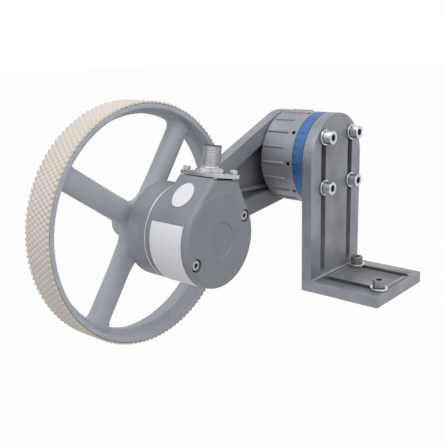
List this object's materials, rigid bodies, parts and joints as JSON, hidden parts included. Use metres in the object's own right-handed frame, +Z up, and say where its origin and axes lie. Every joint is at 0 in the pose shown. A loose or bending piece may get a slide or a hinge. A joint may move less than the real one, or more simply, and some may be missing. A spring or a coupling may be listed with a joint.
{
  "type": "encoder measuring wheel",
  "caption": "Spring-loaded encoder measuring wheel: a four-spoke wheel with a nubbed tread on a shaft encoder, held by a pocketed swing arm, a torsion-spring drum and a slotted L-bracket.",
  "frame": {"origin": "centre of the bracket's underside", "axes": "+Z up out of the base, +Y from the base towards the wheel along every shaft, +X to the right with the arm reaching to -X"},
  "size_m": [0.2347, 0.143, 0.1592],
  "materials": {
    "blasted": "bead-blasted and clear anodised, matte",
    "wheel_paint": "cast aluminium with silver-grey paint, satin",
    "cover_paint": "die cast with grey powder coat, satin",
    "blue": "blue anodised, satin",
    "zinc": "bright zinc plated",
    "steel": "ground steel",
    "nickel": "nickel plated brass",
    "bronze": "bare bronze",
    "tread": "cream polyurethane, nubbed",
    "seal_rubber": "black rubber",
    "black_plastic": "black moulded plastic",
    "label": "bare white foil",
    "board": "green circuit board",
    "disc_glass": "clear"
  },
  "bodies": {
    "bracket": {"bracket": "blasted", "base_washer_left": "zinc", "base_washer_right": "zinc", "base_screw_left": "zinc", "base_screw_right": "zinc"},
    "spring_unit": {"mounting_flange": "blasted", "scale_ring": "blue", "plate_washer_upper_left": "zinc", "plate_washer_upper_right": "zinc", "plate_washer_lower_left": "zinc", "plate_washer_lower_right": "zinc", "plate_screw_upper_left": "zinc", "plate_screw_upper_right": "zinc", "plate_screw_lower_left": "zinc", "plate_screw_lower_right": "zinc", "pivot_shaft": "steel", "retaining_washer": "steel", "retaining_screw": "zinc"},
    "grip_ring": {"grip_ring": "blasted", "torsion_spring": "steel"},
    "arm": {"arm": "blasted", "arm_bush_front": "bronze", "arm_bush_rear": "bronze", "encoder_cover": "cover_paint", "cover_screw_left": "zinc", "cover_screw_right": "zinc", "encoder_flange": "blasted", "flange_screw_1": "zinc", "flange_screw_2": "zinc", "flange_screw_3": "zinc", "encoder_bearing_front": "steel", "encoder_bearing_rear": "steel", "circuit_board": "board", "scanner_block": "black_plastic", "rating_label": "label", "oval_label": "label", "connector_seal": "seal_rubber", "connector_shell": "nickel", "connector_insert": "black_plastic", "connector_pin_1": "bronze", "connector_pin_2": "bronze", "connector_pin_3": "bronze", "connector_pin_4": "bronze", "connector_pin_5": "bronze", "connector_pin_6": "bronze", "connector_pin_7": "bronze", "connector_screw_1": "zinc", "connector_screw_2": "zinc", "connector_screw_3": "zinc", "connector_screw_4": "zinc"},
    "wheel": {"wheel": "wheel_paint", "tread": "tread", "encoder_shaft": "steel", "code_disc": "disc_glass", "disc_hub": "bronze", "grub_screw_1": "zinc", "grub_screw_2": "zinc"}
  },
  "joints": [
    {"name": "height_adjust", "type": "slide", "parent": "bracket", "child": "spring_unit", "axis": [0, 0, 1], "range_m": [-0.052, 0]},
    {"name": "preload_turn", "type": "hinge", "parent": "spring_unit", "child": "grip_ring", "pos_m": [0, 0.052, 0.0905], "axis": [0, 1, 0], "range_deg": [-90, 90]},
    {"name": "arm_swing", "type": "hinge", "parent": "spring_unit", "child": "arm", "pos_m": [0, 0.0616, 0.0905], "axis": [0, 1, 0], "range_deg": [0, 45], "stiffness_Nm_per_rad": 1.2, "springref_deg": -51.57},
    {"name": "wheel_spin", "type": "hinge", "parent": "arm", "child": "wheel", "pos_m": [-0.1217, 0.09885, 0.05903], "axis": [0, 1, 0], "continuous": true}
  ]
}
